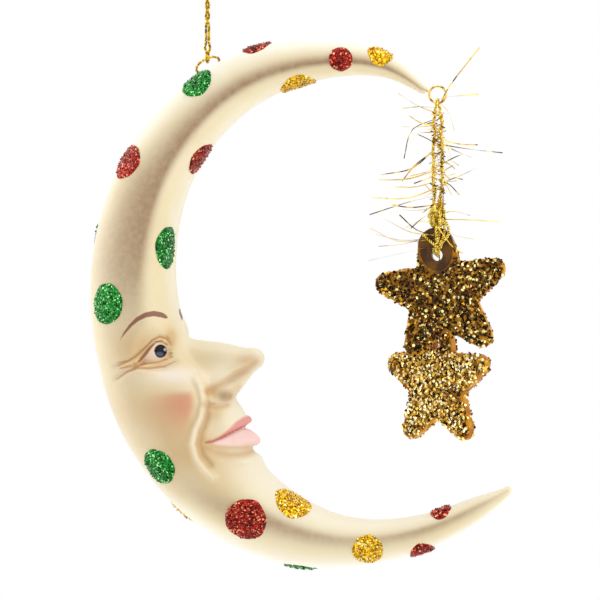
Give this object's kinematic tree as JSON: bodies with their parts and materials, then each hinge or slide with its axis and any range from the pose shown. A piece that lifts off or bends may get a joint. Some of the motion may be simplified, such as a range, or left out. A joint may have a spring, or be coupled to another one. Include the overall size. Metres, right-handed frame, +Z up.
{
  "type": "moon ornament",
  "caption": "Hanging crescent moon with a face on its inner side, glitter dots, and glitter stars on a tinsel string at its upper tip, hung from a twisted cord loop.",
  "frame": {"origin": "inner top of the hanging loop, where a hook carries the ornament", "axes": "+Z up, +X the way the face looks, along the crescent's plane, +Y away from the side that the picture shows"},
  "size_m": [0.1224, 0.0379, 0.1941],
  "materials": {
    "painted_resin": "cream paint with a tan antique wash, sealed with a soft sheen, on cast resin",
    "gold_cord": "twisted metallic gold cord",
    "gold_wire": "bright gold wire",
    "green_glitter": "fine green glitter on paint",
    "red_glitter": "fine red glitter on paint",
    "gold_glitter": "fine gold glitter on paint",
    "gold_tinsel": "thin shiny gold foil strips and twisted string",
    "amber_plastic": "clear amber plastic with coarse gold glitter"
  },
  "bodies": {
    "loop": {"hanging_loop": "gold_cord", "loop_knot": "gold_cord"},
    "cord": {"hanging_cord": "gold_cord"},
    "moon": {"moon_casting": "painted_resin", "top_eye": "gold_wire", "tip_eye": "gold_wire", "green_dot_crown": "green_glitter", "red_dot_crown": "red_glitter", "gold_dot_under_horn": "gold_glitter", "red_dot_upper_horn": "red_glitter", "gold_dot_upper_horn": "gold_glitter", "red_dot_back": "red_glitter", "red_dot_inner": "red_glitter", "green_dot_inner": "green_glitter", "green_dot_temple": "green_glitter", "green_dot_cheek": "green_glitter", "red_dot_chin": "red_glitter", "gold_dot_chin": "gold_glitter", "gold_dot_lower": "gold_glitter", "red_dot_lower_horn": "red_glitter", "red_dot_lower_tip": "red_glitter", "green_dot_edge": "green_glitter", "gold_dot_edge": "gold_glitter", "green_dot_under": "green_glitter", "far_gold_dot_crown": "gold_glitter", "far_green_dot_horn": "green_glitter", "far_red_dot_temple": "red_glitter", "far_gold_dot_back": "gold_glitter", "far_green_dot_cheek": "green_glitter", "far_red_dot_chin": "red_glitter", "far_gold_dot_lower": "gold_glitter"},
    "tinsel": {"tinsel_string": "gold_tinsel", "tinsel_bundle": "gold_tinsel", "upper_star_wrap": "gold_tinsel", "lower_thread": "gold_tinsel"},
    "upper_star": {"upper_star": "amber_plastic"},
    "lower_star": {"lower_star": "amber_plastic", "lower_star_wrap": "gold_tinsel"}
  },
  "joints": [
    {"name": "cord_spin", "type": "hinge", "parent": "loop", "child": "cord", "pos_m": [0, 0, -0.0282], "axis": [0, 0, 1], "range_deg": [-180, 180]},
    {"name": "moon_swing", "type": "hinge", "parent": "cord", "child": "moon", "pos_m": [0, 0, -0.0472], "axis": [0, 1, 0], "range_deg": [-10, 25]},
    {"name": "tinsel_swing", "type": "hinge", "parent": "moon", "child": "tinsel", "pos_m": [0.06688, 0, -0.06084], "axis": [0, 1, 0], "range_deg": [-12, 25]},
    {"name": "upper_star_swing", "type": "hinge", "parent": "tinsel", "child": "upper_star", "pos_m": [0.06688, 0, -0.10384], "axis": [0, 1, 0], "range_deg": [-20, 20]},
    {"name": "lower_star_turn", "type": "hinge", "parent": "tinsel", "child": "lower_star", "pos_m": [0.06538, 0.01, -0.12884], "axis": [0, 0, 1], "range_deg": [-2, 50]}
  ]
}
